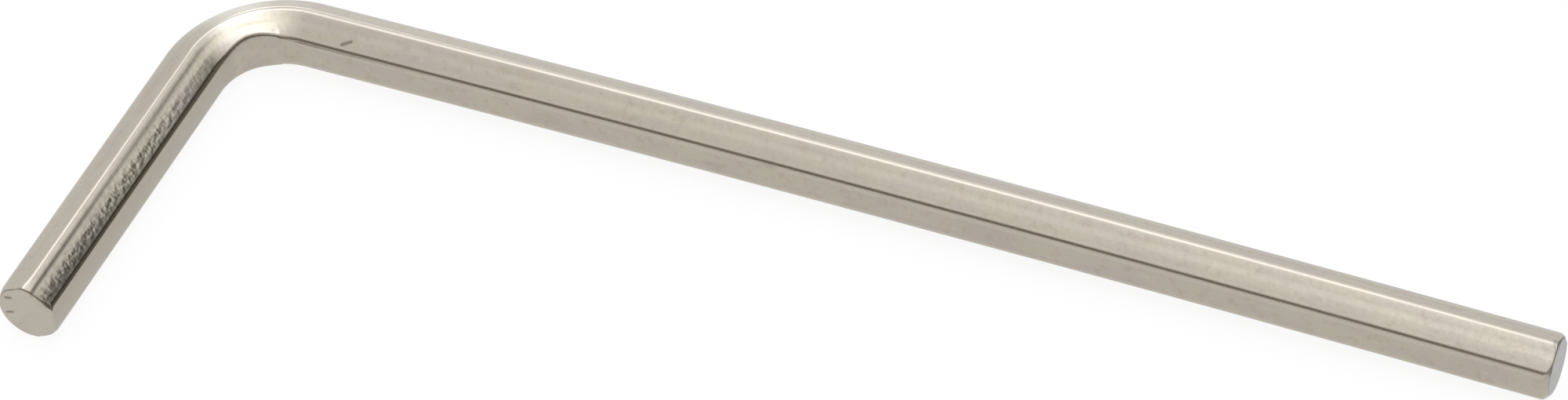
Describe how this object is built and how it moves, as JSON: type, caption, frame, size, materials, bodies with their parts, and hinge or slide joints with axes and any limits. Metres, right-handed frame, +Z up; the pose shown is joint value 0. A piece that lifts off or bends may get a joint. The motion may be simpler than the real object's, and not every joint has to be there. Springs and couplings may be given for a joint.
{
  "type": "hex key",
  "caption": "L-shaped hex key: plated hexagonal steel wire bent once into a long and a short arm, with chamfered tips, for turning socket-head screws.",
  "frame": {"origin": "under the middle of the key's box, on the surface it lies on", "axes": "+X along the long arm towards its tip, -Y along the short arm towards its tip, +Z up from the surface; the bend lies in the XY plane"},
  "size_m": [0.059, 0.0198, 0.0028],
  "materials": {
    "nickel_plate": "dull bright nickel plating over drawn steel wire, warm silver, with a faint grain along the wire"
  },
  "bodies": {
    "root": {"key": "nickel_plate"}
  },
  "joints": []
}
